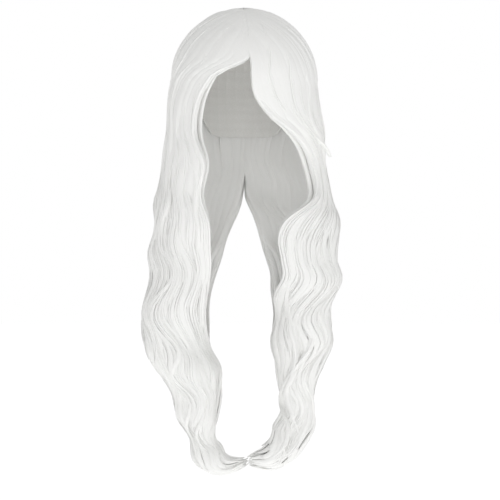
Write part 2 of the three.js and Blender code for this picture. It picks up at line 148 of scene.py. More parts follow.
# The least metres in a whole turn round the hair, for a wave and for a lock's width.
WAVE_ROOM = 0.02
LOCK_ROOM = 0.01
# When a lock is laid by what shows in front: how far apart places of the chart are blended,
# and how far to the front a place has to face.
SEEN_BLUR = 0.003
SEEN_FACING = -0.05

# The masses of one side: the share of the way round where each begins and ends, up at the
# head and down in the tress, the shares of the fall where its locks end, how many locks it
# has across and how many thin ones over the crown, and how far its hair lies over its
# neighbours'.
MASSES = {
    "bangs": {"up": (0.0, 0.28), "down": (0.0, 0.26), "ends": (0.84, 0.985), "locks": 6, "crown": 16,
              "over": 0.0016},
    "side_hair": {"up": (0.26, 0.62), "down": (0.14, 0.78), "ends": (0.972, 1.0), "locks": 8, "crown": 8,
                  "over": 0.0},
    "back_hair": {"up": (0.6, 1.01), "down": (0.68, 1.0), "ends": (0.9, 0.995), "locks": 8, "crown": 8,
                  "over": 0.0},
}
# From the first to the second share of the fall, a mass goes from its place at the head to
# its place in the tress.
MASS_MOVES = (0.45, 0.85)

# How far round a lock may reach: to the hem over the face, over the parting above it, and
# over the middle line behind.
HEM, PARTED, BEHIND = 0.003, -0.018, 1.015
# Over the crown the bangs rise from the parting, the last of them this far down it, and by
# SWEPT_BY they lie in their place. The rest of the hair closes in over their roots.
BANGS_END = 0.28
PARTED_TO = 0.6
SWEPT_BY = 1.3
# A lock that begins this far down the parting has a root that narrows and sinks.
ROOTED = 0.05
ROOT_SUNK = 0.0012

# Layers of locks over a mass: how many there are for each lock of the mass and how many
# more, how thick a lock is, how far its crest stands over the hair's surface, how freely it
# moves, its width in shares of an even spread and at most, its stations along, its points
# over the back, and its wisps.
LAYERS = {
    "under": {"per": 1, "more": 0, "thick": 0.0065, "rise": -0.0032, "stir": 0.3, "wide": (1.9, 2.2),
              "most": 0.040, "stations": 62, "outer": 18, "wisps": 0},
    "over": {"per": 1, "more": 1, "thick": 0.0029, "rise": 0.0, "stir": 0.9, "wide": (1.4, 2.0),
             "most": 0.034, "stations": 84, "outer": 28, "wisps": 9},
    "stray": {"per": 0.5, "more": 0, "thick": 0.0032, "rise": 0.0009, "stir": 2.6, "wide": (0.5, 0.9),
              "most": 0.016, "stations": 76, "outer": 14, "wisps": 2},
}
# What a lock of a layer does of its own, at full stir: how far it drifts round the hair, the
# length of its own wave, how far that slides and sinks it, how much higher or lower it lies
# than the rest, and how far a stray lock is sunk over the crown.
OWN_DRIFT = 0.012
OWN_WAVE = (0.1, 0.16)
OWN_SWAY = 0.003
OWN_SWELL = 0.0016
OWN_LEVEL = 0.0007
STRAY_SUNK = 0.004

# The lock along the parting, under the roots of the rest: its middle, width and thickness.
PARTING_LOCK = {"at": 0.012, "width": 0.028, "thick": 0.006, "end": 1.6, "stations": 30, "outer": 20}
# Thin locks over the crown, which sink in at the root and again at the tip.
CROWN_LOCK = {"roots": (0.1, 0.5), "ends": (1.3, 3.0), "stations": 34, "outer": 12, "width": (0.006, 0.011),
              "thick": 0.0016, "rise": 0.0010, "root_sunk": 0.0014, "tip_sunk": 0.0024}
# Inner locks, which show through the face opening and between the tresses: how many more
# than the mass has, where they begin and at what share of the fall they end, and how deep
# they may lie.
INNER_LOCK = {"more": 3, "start": 0.8, "end": 0.62, "stations": 42, "outer": 17, "inner": 4,
              "wide": (1.2, 2.2), "most": 0.034, "thick": (0.003, 0.0045), "within": 0.026}

# Strands on a lock's back: how far apart they are, and how high they stand.
STRANDS = ((0.0083, 0.00034), (0.0047, 0.0002), (0.0026, 0.00012))
# They wander by a share of their spacing, at so many radians a metre along the lock and
# across it, and by so much in a metre to one side. Their height is uneven in the same way.
STRAND_BEND_ALONG = (0.5, 38)
STRAND_BEND_ACROSS = (0.45, 310)
STRAND_TURN = 3
STRAND_UNEVEN = 0.35
UNEVEN_ACROSS = 190
UNEVEN_ALONG = 9
STRAND_ROUND = 0.8
STRAND_LEVEL = 0.75

# Wisps on a lock's back: how near its edges they lie, how far they drift across it, where
# they start and end along it, how wide and thick they are, and how far they stand over the
# back and sink into it at their ends.
LAYER_WISPS = {"reach": 0.95, "drift": 0.4, "starts": (0.12, 0.5), "widths": (0.0016, 0.0042)}
SINGLE_WISPS = {"reach": 0.9, "drift": 0.3, "starts": (0, 0.3), "widths": (0.0014, 0.003)}
WISP_ENDS = (0.7, 1)
WISP_THICK = 0.0004
WISP_LIFT = 0.0003
WISP_SUNK = 0.0012
WISP_WANDER = 0.07
WISP_STATIONS = 8

# A lock's section: how far its back bends round to its edges, how round the crest is, and
# how deep its underside is, as a share of its back.
BACK_BEND = 0.8
CREST_ROUND = 0.7
UNDERSIDE = 0.5
# The share of a lock's length over which its root widens.
ROOT_WIDENS = 0.12
# Random phases are drawn from one turn, and the noise of each lock from its own place.
TURN = 6.28
SEEDS = 50

# Single locks that show in front: the mass that each belongs to, its width, how far its
# crest stands over the rest, and the places that it passes, in millimetres across and up as
# seen from in front. Some say how far the end stands out and how wide the tip is.
MM = 1000
SINGLE_LOCK = {"stations": 56, "outer": 18, "wisps": 4, "thick": 0.0052, "root_sunk": 0.004,
               "ends_out": -3.5, "tip": 0.2}
SINGLE_LOCKS = {
    "left bang edge": {
        "of": "bangs_left", "width": 15, "over": 0.8,
        "path": ((-8, 4), (-13, -13), (-21, -27), (-35, -42), (-49, -59), (-58, -77), (-60, -95),
                 (-62, -115)),
    },
    "left bang hem": {
        "of": "bangs_left", "width": 12, "over": 0.6,
        "path": ((-16, -68), (-43, -84), (-60, -107), (-68, -134), (-70, -166), (-57, -196), (-52, -213),
                 (-62, -254), (-61, -281)),
    },
    "left cheek": {
        "of": "side_hair_left", "width": 14, "over": 0.5,
        "path": ((-94, -82), (-92, -106), (-87, -135), (-80, -156), (-71, -178), (-66, -203), (-63, -238),
                 (-64, -270), (-60, -302), (-58, -336), (-62, -368)),
    },
    "left outer end": {
        "of": "side_hair_left", "width": 20, "over": 1.6,
        "path": ((-112, -350), (-126, -384), (-124, -418), (-114, -452), (-101, -486), (-90, -520),
                 (-83, -547), (-79, -562)),
    },
    "outer right bang": {
        "of": "bangs_right", "width": 13, "over": 1.8, "ends_out": 7, "tip": 0.45,
        "path": ((38, -16), (53, -46), (60, -82), (64, -114), (74, -141), (90, -162), (105, -175),
                 (114, -190)),
    },
    "inner right bang": {
        "of": "bangs_right", "width": 14, "over": 1.3,
        "path": ((8, 2), (18, -12), (25, -24), (30, -40), (33, -62), (32, -86), (37, -107), (47, -126),
                 (62, -143), (80, -158)),
    },
    "right bang hem": {
        "of": "bangs_right", "width": 11, "over": 0.7,
        "path": ((11, -37), (11, -71), (16, -105), (30, -132), (50, -152), (71, -169), (88, -190),
                 (98, -218), (94, -245), (75, -264)),
    },
    "right tress front": {
        "of": "side_hair_right", "width": 11, "over": 3.0,
        "path": ((52, -345), (54, -384), (63, -424), (68, -454), (63, -481), (56, -509), (63, -536),
                 (73, -560)),
    },
    "right tress crossing": {
        "of": "side_hair_right", "width": 10, "over": 3.4,
        "path": ((96, -400), (92, -424), (83, -452), (67, -473), (53, -499), (49, -522), (57, -547),
                 (54, -574), (35, -592)),
    },
    "right curl": {
        "of": "side_hair_right", "width": 14, "over": 1.2,
        "path": ((80, -490), (83, -513), (87, -533), (82, -554), (71, -574), (54, -590), (33, -598)),
    },
}


def mix(a, b, t):
    return a + (b - a) * t


def smoothstep(low, high, v):
    t = np.clip((v - low) / (high - low), 0, 1)
    return t * t * (3 - 2 * t)


def unit(v):
    return v / np.maximum(np.linalg.norm(v, axis=-1, keepdims=True), 1e-12)


def reading(values, row):
    """A smooth curve through evenly spaced values, read at a row that need not be whole."""
    i = np.clip(np.floor(row).astype(int), 0, len(values) - 2)
    u = np.clip(row - i, 0, 1)
    p0, p1, p2, p3 = (values[np.clip(i + k, 0, len(values) - 1)] for k in (-1, 0, 1, 2))
    bend = 2 * p0 - 5 * p1 + 4 * p2 - p3 + (3 * p1 - p0 - 3 * p2 + p3) * u
    return p1 + 0.5 * u * (p2 - p0 + u * bend)


class Side:
    """One side's outer surface: a is 0 at the face and 1 behind; t is 0 at the whorl, 1 at
    the widest level, and then counts the rows of the fall."""

    def __init__(self, sign, parting, fall, phase):
        self.sign, self.phase = sign, phase
        self.last = float(len(fall))
        self.parting = np.array(parting, float)
        self.columns = {key: np.array([row[i] for row in fall]) for i, key in enumerate(FALL_COLUMNS)}
        self.steps = np.linspace(0, self.last, STATIONS)
        path = self.point(np.full_like(self.steps, 0.5), self.steps)
        hops = np.linalg.norm(np.diff(path, axis=0), axis=1)
        self.runs = np.concatenate([[0], np.cumsum(hops)])
        self.chart = np.meshgrid(np.linspace(0, 1, CHART[0]), np.linspace(CHART_TOP, self.last, CHART[1]))
        self.charted, self.facing, _ = self.frame(*self.chart)

    def column(self, key, t):
        return reading(self.columns[key], np.maximum(np.asarray(t, float) - 1, 0))

    def stations(self, start, end, count):
        """Values of t from start to end, as far apart along the hair."""
        low, high = np.interp((start, end), self.steps, self.runs)
        return np.interp(np.linspace(low, high, count), self.runs, self.steps)

    def angle(self, edge, back, a, spread):
        return mix(-ROOT_ANGLE, back, a) + (ROOT_ANGLE - edge) * np.maximum(0, 1 - a) ** spread

    def point(self, a, t):
        """The place at a and t, on the crown down to the widest level and then on the fall."""
        a, t = np.broadcast_arrays(np.asarray(a, float), np.asarray(t, float))
        polar = mix(WHORL_BARE, 90, np.clip(t, 0, 1))
        turn = np.radians(self.angle(reading(self.parting, polar / PARTING_STEP), 90, a, ROOT_SPREAD))
        lean = WHORL_LEAN * (1 - np.clip(t, 0, 1))
        down = np.radians(polar)
        x = self.sign * np.cos(turn) * np.sin(down)
        y = np.sin(turn) * np.sin(down)
        z = np.cos(down)
        y, z = y * np.cos(lean) - z * np.sin(lean), y * np.sin(lean) + z * np.cos(lean)
        crown = np.stack([x * CROWN_X, y * CROWN_Y, WIDEST + z * CROWN_Z], -1)
        get = {key: self.column(key, t) for key in FALL_COLUMNS}
        spread = mix(ROOT_SPREAD, 1, np.clip(get["drop"] / GATHER_TO, 0, 1))
        turn = np.radians(self.angle(get["edge"], get["back"], a, spread))
        lean = np.radians(get["lean"])
        out = np.cos(turn) * get["half"] * CROWN_X
        fall = np.stack(
            [
                self.sign * (get["centre"] * TRESS_OFFSET + out * np.cos(lean)),
                get["shift"] * CROWN_Y + np.sin(turn) * get["deep"] * CROWN_Y,
                WIDEST - get["drop"] * HAIR_DROP - out * np.sin(lean),
            ],
            -1,
        )
        return np.where((t <= 1)[..., None], crown, fall)

    def middle(self, t):
        x = self.sign * self.column("centre", t) * TRESS_OFFSET
        y = self.column("shift", t) * CROWN_Y
        z = WIDEST - self.column("drop", t) * HAIR_DROP
        return np.stack([x, y, z], -1)

    def frame(self, a, t):
        """The surface's point, the way out of it, and the metres in a whole turn of a there."""
        step, hop = 0.02, 0.005
        t = np.maximum(t, hop)
        along = unit(self.point(a, t + hop) - self.point(a, t - hop))
        around = self.point(a + step, t) - self.point(a - step, t)
        spacing = np.linalg.norm(around, axis=-1) / (2 * step)
        across = unit(around - along * np.sum(around * along, -1, keepdims=True))
        return self.point(a, t), -self.sign * np.cross(across, along), spacing

    def waving(self, a, t, sway, swell, swing):
        """The surface's point and way out after the wave has slid and swelled it."""
        run = np.interp(t, self.steps, self.runs)
        turn = run / WAVE_LENGTH * 2 * math.pi + self.phase + a * WAVE_LAG
        turn = turn + DRIFT * np.sin(run * DRIFT_ALONG + a * DRIFT_ROUND + self.phase)
        strength = mix(0.15, 1, smoothstep(1, 5, t)) * np.clip(t - 0.4, 0, 1)
        strength = strength * np.clip((self.last - t) / 4 + 0.2, 0, 1)
        inside = np.clip(5 * a * (1 - a), 0, 1)
        spacing = self.frame(a, t)[2]
        slide = (WAVE_SWING * swing * strength * np.sin(turn) + sway) * inside
        slid = np.clip(a + slide / np.maximum(spacing, WAVE_ROOM), PARTED, BEHIND)
        point, out, _ = self.frame(slid, t)
        rise = WAVE_SWELL * strength * (np.cos(turn) - 1) / 2 + swell
        return point + out * rise[..., None], out

    def seen_at(self, x, z):
        """a and t of the place that shows at x and z from in front, or of the nearest to it."""
        miss = np.hypot(self.charted[..., 0] - x, self.charted[..., 2] - z)
        miss = miss + np.where(self.facing[..., 1] < SEEN_FACING, 0, 1)
        near = np.exp(-(((miss - miss.min()) / SEEN_BLUR) ** 2))
        return tuple(np.sum(values * near) / np.sum(near) for values in self.chart)

    def depth(self, point, t):
        """How deep the hair goes in from a point of the surface."""
        radius = np.linalg.norm(point - self.middle(t), axis=-1)
        gathered = np.clip((self.column("drop", t) - GATHER_FROM) / (GATHER_TO - GATHER_FROM), 0, 1)
        return mix(np.full_like(radius, HAIR_BODY), radius * TRESS_FILL, gathered)


SIDES = {
    "left": Side(-1, PARTING["left"], LEFT_FALL, 0.4),
    "right": Side(1, PARTING["right"], RIGHT_FALL, 2.2),
}


class Bundle:
    """Gathers many closed lofts into one mesh, with each vertex's place along the flow."""

    def __init__(self):
        self.points, self.flow, self.quads, self.tris = [], [], [], []
        self.count = 0

    def loft(self, rings, flow):
        """rings is stations x points x 3, and flow the same with across, along and seed."""
        stations, size = rings.shape[:2]
        ends = np.stack([rings[0].mean(0), rings[-1].mean(0)])
        end_flow = np.stack([flow[0].mean(0), flow[-1].mean(0)])
        self.points.append(np.concatenate([rings.reshape(-1, 3), ends]))
        self.flow.append(np.concatenate([flow.reshape(-1, 3), end_flow]))
        i = np.arange(size)
        j = (i + 1) % size
        base = self.count + np.arange(stations - 1)[:, None] * size
        quads = np.stack([base + i, base + j, base + size + j, base + size + i], -1).reshape(-1, 4)
        first = self.count + stations * size
        start = np.stack([np.full(size, first), self.count + j, self.count + i], -1)
        tail = self.count + (stations - 1) * size
        stop = np.stack([np.full(size, first + 1), tail + i, tail + j], -1)
        tris = np.concatenate([start, stop])
        middle = rings.mean(1, keepdims=True)
        spoke = rings - middle
        area = np.cross(spoke, np.roll(spoke, -1, 1)).sum(1)
        growth = np.gradient(middle[:, 0], axis=0)
        if np.sum(area * growth) < 0:
            quads, tris = quads[:, ::-1], tris[:, ::-1]
        self.quads.append(quads)
        self.tris.append(tris)
        self.count += stations * size + 2

    def triangles(self):
        return 2 * sum(len(q) for q in self.quads) + sum(len(t) for t in self.tris)

    def build(self, name):
        points = np.concatenate(self.points)
        quads = np.concatenate(self.quads)
        tris = np.concatenate(self.tris)
        mesh = bpy.data.meshes.new(name)
        mesh.vertices.add(len(points))
        mesh.vertices.foreach_set("co", points.astype(np.float32).ravel())
        corners = np.concatenate([quads.ravel(), tris.ravel()]).astype(np.int32)
        mesh.loops.add(len(corners))
        mesh.loops.foreach_set("vertex_index", corners)
        starts = np.concatenate([np.arange(len(quads)) * 4, len(quads) * 4 + np.arange(len(tris)) * 3])
        mesh.polygons.add(len(starts))
        mesh.polygons.foreach_set("loop_start", starts.astype(np.int32))
        mesh.update(calc_edges=True)
        mesh.polygons.foreach_set("use_smooth", np.ones(len(starts), bool))
        layer = mesh.attributes.new("flow", "FLOAT_VECTOR", "POINT")
        layer.data.foreach_set("vector", np.concatenate(self.flow).astype(np.float32).ravel())
        mesh.validate()
        made = bpy.data.objects.new(name, mesh)
        bpy.context.scene.collection.objects.link(made)
        return made


def section(outer, inner):
    """A lens-shaped section: places across it from -1 to 1, over its back and then under."""
    bend = np.sin(np.linspace(-1, 1, outer) * math.pi / 2 * BACK_BEND) / math.sin(math.pi / 2 * BACK_BEND)
    across = np.concatenate([bend, np.linspace(1, -1, inner + 2)[1:-1]])
    return across, np.arange(len(across)) < outer


def crest_at(u):
    """How high a lock's back stands at a place across it, as a share of its thickness."""
    return np.maximum(0, 1 - u**2) ** CREST_ROUND


def taper(s, root, tip, tail):
    """A lock's width or thickness along it, as a share: narrow at the root and at the tip."""
    fade = np.where(s > 1 - tail, mix(tip, 1, np.sqrt(np.clip((1 - s) / tail, 0, 1))), 1)
    return mix(root, 1, smoothstep(0, ROOT_WIDENS, s)) * fade


def wander(s, rng, size, waves):
    """A slow smooth random drift along a lock, nothing at its root."""
    total = np.zeros_like(s)
    for k in range(1, waves + 1):
        total += np.sin(s * 2 * math.pi * k * 0.8 + rng.uniform(0, TURN)) / k
    return size * (total - total[0] * (1 - s))


def outside_head(point, out, deep):
    """Holds a depth back so that it stays clear of the cap and the head."""
    clear = CAP_WALL + CAP_CLEAR
    low, high = np.zeros_like(deep), deep.copy()
    for _ in range(12):
        trial = (low + high) / 2
        where = point - out * trial[..., None]
        rise = where[..., 2] - WIDEST
        reach = np.where(rise > 0, HEAD_RISE + clear, HEAD_FALL)
        form = (
            (where[..., 0] / (HEAD_WIDTH / 2 + clear)) ** 2
            + (where[..., 1] / (HEAD_DEPTH / 2 + clear)) ** 2
            + (rise / reach) ** 2
        )
        free = (form > 1) | (rise < -HEAD_KEPT)
        low, high = np.where(free, trial, low), np.where(free, high, trial)
    return low


class Lock:
    """One lock on a side: a and t are its middle line, and width, thick and rise its width,
    its thickness and its crest's height over the surface at each station."""

    def __init__(self, side, t, a, width, thick, rise, rng, sway=None, swell=None, swing=1.0):
        self.side, self.t, self.thick, self.rise, self.rng, self.swing = side, t, thick, rise, rng, swing
        self.sway = np.zeros_like(t) if sway is None else sway
        self.swell = np.zeros_like(t) if swell is None else swell
        self.spacing = side.frame(a, t)[2]
        half = width / 2 / np.maximum(self.spacing, LOCK_ROOM)
        hem = mix(PARTED, HEM, smoothstep(PARTED_TO, 1.0, t))
        low, high = np.maximum(a - half, hem), np.minimum(a + half, BEHIND)
        self.a, self.half = (low + high) / 2, np.maximum((high - low) / 2, 0.0005)
        self.width = 2 * self.half * self.spacing
        self.wide = self.width.max()
        self.seed = rng.uniform(0, SEEDS)
        line = self.surface(np.zeros((len(t), 1)))[0][:, 0]
        self.run = np.concatenate([[0], np.cumsum(np.linalg.norm(np.diff(line, axis=0), axis=1))])
        self.twist = [
            (rng.uniform(0, 1), rng.uniform(-STRAND_TURN, STRAND_TURN), rng.uniform(0, TURN)) for _ in STRANDS
        ]

    def surface(self, u, rows=slice(None)):
        """The hair's surface and the way out of it, at places across the lock."""
        a = self.a[rows, None] + u * self.half[rows, None]
        t = np.broadcast_to(self.t[rows, None], a.shape)
        return self.side.waving(a, t, self.sway[rows, None], self.swell[rows, None], self.swing)

    def strands(self, u):
        """The relief of the strands: rounded backs with sharp grooves between them."""
        x = u * self.wide / 2
        run = self.run[:, None]
        total = np.zeros_like(u)
        for (spacing, height), (phase, turn, start) in zip(STRANDS, self.twist):
            place = x / spacing + phase + turn * run
            for (size, rate), way in ((STRAND_BEND_ALONG, run), (STRAND_BEND_ACROSS, x)):
                place = place + size * np.sin(way * rate + start)
            uneven = STRAND_UNEVEN * np.sin(x * UNEVEN_ACROSS + run * UNEVEN_ALONG + start)
            stands = 1 - STRAND_UNEVEN + uneven
            back = np.abs(np.sin(math.pi * place)) ** STRAND_ROUND
            total = total + height * stands * (back - STRAND_LEVEL)
        return total * crest_at(u) * (self.width / self.wide)[:, None]

    def add_body(self, bundle, outer, inner=5, within=None):
        """The lock's own solid. within is how deep it may lie when it faces inwards."""
        across, top = section(outer, inner)
        u = np.broadcast_to(across, (len(self.t), len(across)))
        point, out = self.surface(u)
        thick = self.thick[:, None]
        crest = np.where(top, crest_at(u), -UNDERSIDE * crest_at(u))
        relief = np.where(top, self.strands(u), 0)
        if within is None:
            height = self.rise[:, None] + (crest - 1) * thick + relief
        else:
            deep = self.side.depth(point, np.broadcast_to(self.t[:, None], u.shape))
            height = (1 - crest) * thick - outside_head(point, out, np.minimum(deep, within)) - relief
        along = np.broadcast_to(self.run[:, None], u.shape)
        flow = np.stack([u * self.wide / 2, along, np.full_like(u, self.seed)], -1)
        bundle.loft(point + out * height[..., None], flow)

    def add_wisps(self, bundle, count, kind):
        """Wisps scattered over the lock's back."""
        for _ in range(count):
            u_from = self.rng.uniform(-kind["reach"], kind["reach"])
            u_to = u_from + self.rng.uniform(-kind["drift"], kind["drift"])
            start, end = self.rng.uniform(*kind["starts"]), self.rng.uniform(*WISP_ENDS)
            self.add_wisp(bundle, u_from, u_to, start, end, self.rng.uniform(*kind["widths"]))

    def add_wisp(self, bundle, u_from, u_to, start, end, width):
        """A narrow flat wisp that lies on the lock's back, from one place across to another."""
        s = np.linspace(0, 1, len(self.t))
        rows = np.flatnonzero((s >= start) & (s <= end))
        if len(rows) < WISP_STATIONS:
            return
        part = (s[rows] - start) / (end - start)
        middle = mix(u_from, u_to, smoothstep(0, 1, part)) + wander(part, self.rng, WISP_WANDER, 3)
        spread = taper(part, 0.3, 0.08, 0.35)
        section_u = np.array([-1, -0.5, 0.5, 1, 0])
        section_h = np.array([0, 1, 1, 0, -0.8])
        u = middle[:, None] + section_u * (width * spread / np.maximum(self.width[rows], 0.004))[:, None]
        point, out = self.surface(u, rows)
        base = self.rise[rows] + (crest_at(np.clip(middle, -1, 1)) - 1) * self.thick[rows]
        emerge = smoothstep(0, 0.15, part) * smoothstep(0, 0.1, 1 - part)
        lift = (base + mix(-WISP_SUNK, WISP_LIFT, emerge))[:, None]
        height = lift + section_h * (WISP_THICK * spread)[:, None]
        along = np.broadcast_to(self.run[rows, None], u.shape)
        seed = np.full_like(u, self.seed + 9 * u_from)
        flow = np.stack([section_u * (width * spread / 2)[:, None], along, seed], -1)
        bundle.loft(point + out * height[..., None], flow)


def root_of(nominal):
    """Where down the parting the hair of a place begins."""
    return PARTED_TO * np.clip(1 - nominal / BANGS_END, 0, 1)


def swept(nominal, t):
    """The place round the crown of hair that ends up at a nominal place."""
    root = root_of(nominal)
    way = np.clip((t - root) / (SWEPT_BY - root), 0, 1)
    front = np.clip(t / SWEPT_BY, 0, 1)
    edge = BANGS_END * front * (2 - front)
    rest = mix(edge, 1, (nominal - BANGS_END) / (1 - BANGS_END))
    return np.where(nominal < BANGS_END, nominal * way * (2 - way), rest)


def share_between(side, mass, share, t):
    """The place round the hair of a share of a mass, which narrows as the tress gathers."""
    blend = smoothstep(*MASS_MOVES, np.clip((t - 1) / (side.last - 1), 0, 1))
    spec = MASSES[mass]
    low = mix(spec["up"][0], spec["down"][0], blend)
    high = mix(spec["up"][1], spec["down"][1], blend)
    return mix(low, high, share)


def mass_lock(side, mass, layer, share, wide, end, rng):
    """A lock of one mass and layer that takes its share of the way across."""
    spec = MASSES[mass]
    stir = layer["stir"]
    root = root_of(mix(*spec["up"], share))
    t = side.stations(root, 1 + end * (side.last - 1), layer["stations"])
    s = np.linspace(0, 1, len(t))
    low_down = smoothstep(1.2, 4.5, t)
    nominal = share_between(side, mass, share, t) + wander(s, rng, OWN_DRIFT * stir, 3) * low_down
    a = swept(np.clip(nominal, 0.01, 1.0), t)
    even = (spec["up"][1] - spec["up"][0]) * side.frame(a, t)[2] * wide
    width = np.minimum(even, layer["most"]) * taper(s, 1, 0.6, 0.08)
    width = width * mix(1, 0.5 + 0.5 * smoothstep(0, 0.1, s), root > ROOTED)
    thick = layer["thick"] * taper(s, 0.5, 0.35, 0.2) * np.clip(a / 0.05, 0.45, 1)
    thick = thick * mix(0.75, 1, smoothstep(0.8, 2, t))
    rise = layer["rise"] + spec["over"] * smoothstep(0.1, 0.6, t) * (1 - smoothstep(2.5, 7, t))
    rise = rise - ROOT_SUNK * (1 - smoothstep(0, 0.07, s)) * (root > ROOTED)
    rise = rise + rng.uniform(-OWN_LEVEL, OWN_LEVEL) * min(stir, 1)
    rise = rise - STRAY_SUNK * (1 - smoothstep(0.5, 1.1, t)) * (stir > 1)
    run = np.interp(t, side.steps, side.runs)
    turn = run / rng.uniform(*OWN_WAVE) * 2 * math.pi + rng.uniform(0, TURN)
    sway = OWN_SWAY * stir * np.sin(turn) * low_down
    swell = OWN_SWELL * min(stir, 1) * (np.cos(turn) - 1) * low_down
    return Lock(side, t, a, width, thick, rise, rng, sway, swell)


def add_layer(bundle, side, mass, layer, rng):
    """One layer of locks over a mass, and their wisps."""
    spec = MASSES[mass]
    count = int(spec["locks"] * layer["per"]) + layer["more"]
    for i in range(count):
        end = mix(*spec["ends"], rng.uniform())
        share = np.clip((i + 0.5 + rng.uniform(-0.2, 0.2) * layer["stir"]) / count, 0.02, 0.98)
        wide = rng.uniform(*layer["wide"]) / spec["locks"]
        lock = mass_lock(side, mass, layer, share, wide, end, rng)
        lock.add_body(bundle, layer["outer"])
        lock.add_wisps(bundle, layer["wisps"], LAYER_WISPS)


def add_parting_lock(bundle, side, rng):
    t = side.stations(0.0, PARTING_LOCK["end"], PARTING_LOCK["stations"])
    s = np.linspace(0, 1, len(t))
    level = np.zeros_like(t)
    width = PARTING_LOCK["width"] * taper(s, 0.4, 0.4, 0.3)
    lock = Lock(side, t, level + PARTING_LOCK["at"], width, level + PARTING_LOCK["thick"], level, rng)
    lock.add_body(bundle, PARTING_LOCK["outer"])


def add_crown_lock(bundle, side, nominal, rng):
    """A thin lock over the crown, from the parting or near the whorl, that sinks in again."""
    start = root_of(nominal) if nominal < BANGS_END else rng.uniform(*CROWN_LOCK["roots"])
    t = side.stations(start, rng.uniform(*CROWN_LOCK["ends"]), CROWN_LOCK["stations"])
    s = np.linspace(0, 1, len(t))
    width = rng.uniform(*CROWN_LOCK["width"]) * taper(s, 0.7, 0.2, 0.5)
    thick = CROWN_LOCK["thick"] * taper(s, 0.6, 0.3, 0.5)
    rise = CROWN_LOCK["rise"] - CROWN_LOCK["root_sunk"] * (1 - smoothstep(0, 0.08, s))
    rise = rise - CROWN_LOCK["tip_sunk"] * smoothstep(0.5, 1, s)
    Lock(side, t, swept(nominal, t), width, thick, rise, rng).add_body(bundle, CROWN_LOCK["outer"])


def add_inner_lock(bundle, side, mass, share, rng):
    """A lock that faces inwards, as deep in as the hair goes there."""
    spec = MASSES[mass]
    t = side.stations(INNER_LOCK["start"], 1 + INNER_LOCK["end"] * (side.last - 1), INNER_LOCK["stations"])
    s = np.linspace(0, 1, len(t))
    a = np.clip(share_between(side, mass, share, t) + wander(s, rng, OWN_DRIFT, 3), 0.012, 1.0)
    spacing = side.frame(a, t)[2]
    spread = (spec["up"][1] - spec["up"][0]) * spacing * rng.uniform(*INNER_LOCK["wide"]) / spec["locks"]
    width = np.minimum(spread, INNER_LOCK["most"]) * taper(s, 0.6, 0.3, 0.25)
    thick = rng.uniform(*INNER_LOCK["thick"]) * taper(s, 0.5, 0.3, 0.25)
    lock = Lock(side, t, a, width, thick, np.zeros_like(t), rng)
    lock.add_body(bundle, INNER_LOCK["outer"], INNER_LOCK["inner"], INNER_LOCK["within"])


def add_single_lock(bundle, side, single, rng):
    """A lock that passes the places of its path, and the wisps on it."""
    single = SINGLE_LOCK | single
    seen = np.array([side.seen_at(x / MM, z / MM) for x, z in single["path"]])
    rows = np.linspace(0, len(seen) - 1, single["stations"])
    a, t = reading(seen[:, 0], rows), reading(seen[:, 1], rows)
    s = np.linspace(0, 1, len(rows))
    width = single["width"] / MM * taper(s, 0.35, single["tip"], 0.35)
    thick = single["thick"] * taper(s, 0.6, 0.35, 0.3)
    rise = mix(-single["root_sunk"], single["over"] / MM, smoothstep(0, 0.25, s))
    rise = rise + single["ends_out"] / MM * smoothstep(0.75, 1, s)
    lock = Lock(side, t, a, width, thick, rise, rng, swing=0.0)
    lock.add_body(bundle, single["outer"])
    lock.add_wisps(bundle, single["wisps"], SINGLE_WISPS)


def hair_mass(side_name, mass, seed):
    """All the locks of one mass, as one mesh."""
    side = SIDES[side_name]
    spec = MASSES[mass]
    rng = np.random.default_rng(seed)
    bundle = Bundle()
    for layer in LAYERS.values():
        add_layer(bundle, side, mass, layer, rng)
    if mass == "bangs":
        add_parting_lock(bundle, side, rng)
    for i in range(spec["crown"]):
        nominal = mix(*spec["up"], (i + rng.uniform(0.1, 0.9)) / spec["crown"])
        add_crown_lock(bundle, side, np.clip(nominal, 0.005, 0.98), rng)
    inner = spec["locks"] + INNER_LOCK["more"]
    for i in range(inner):
        add_inner_lock(bundle, side, mass, (i + rng.uniform(0.2, 0.8)) / inner, rng)
    for single in SINGLE_LOCKS.values():
        if single["of"] == f"{mass}_{side_name}":
            add_single_lock(bundle, side, single, rng)
    made = bundle.build(f"{mass}_{side_name}_locks")
    print(made.name, bundle.triangles(), "triangles")
    return made


class Socket:
    """Wraps a shader socket, so that shader maths is written as expressions."""

    def __init__(self, nodes, out):
        self.nodes, self.out = nodes, out

    def __add__(self, other):
        return self.nodes.maths("ADD", self, other)

    def __mul__(self, other):
        return self.nodes.maths("MULTIPLY", self, other)

    def __rsub__(self, other):
        return self.nodes.maths("SUBTRACT", other, self)

    __radd__ = __add__
    __rmul__ = __mul__


class Nodes:
    """The nodes of one material or world."""

    def __init__(self, tree):
        self.tree = tree

    def feed(self, slot, value):
        """Links a socket to a slot, or sets plain numbers there."""
        if isinstance(value, Socket):
            self.tree.links.new(value.out, slot)
        else:
            slot.default_value = value

    def add(self, kind, settings=None, sockets=None, output=0):
        """Adds a node: its settings, such as a ramp's stops, come first, then its sockets."""
        node = self.tree.nodes.new(kind)
        for key, value in (settings or {}).items():
            if key == "stops":
                for stop, (place, colour) in zip(node.color_ramp.elements, value):
                    stop.position, stop.color = place, colour
            else:
                setattr(node, key, value)
        for key, value in (sockets or {}).items():
            self.feed(node.inputs[key], value)
        return Socket(self, node.outputs[output])

    def maths(self, kind, *values):
        return self.add("ShaderNodeMath", {"operation": kind}, dict(enumerate(values)))


def new_material(name):
    made = bpy.data.materials.new(name)
    made.use_nodes = True
    shader = next(n for n in made.node_tree.nodes if n.type == "BSDF_PRINCIPLED")
    return made, Nodes(made.node_tree), shader


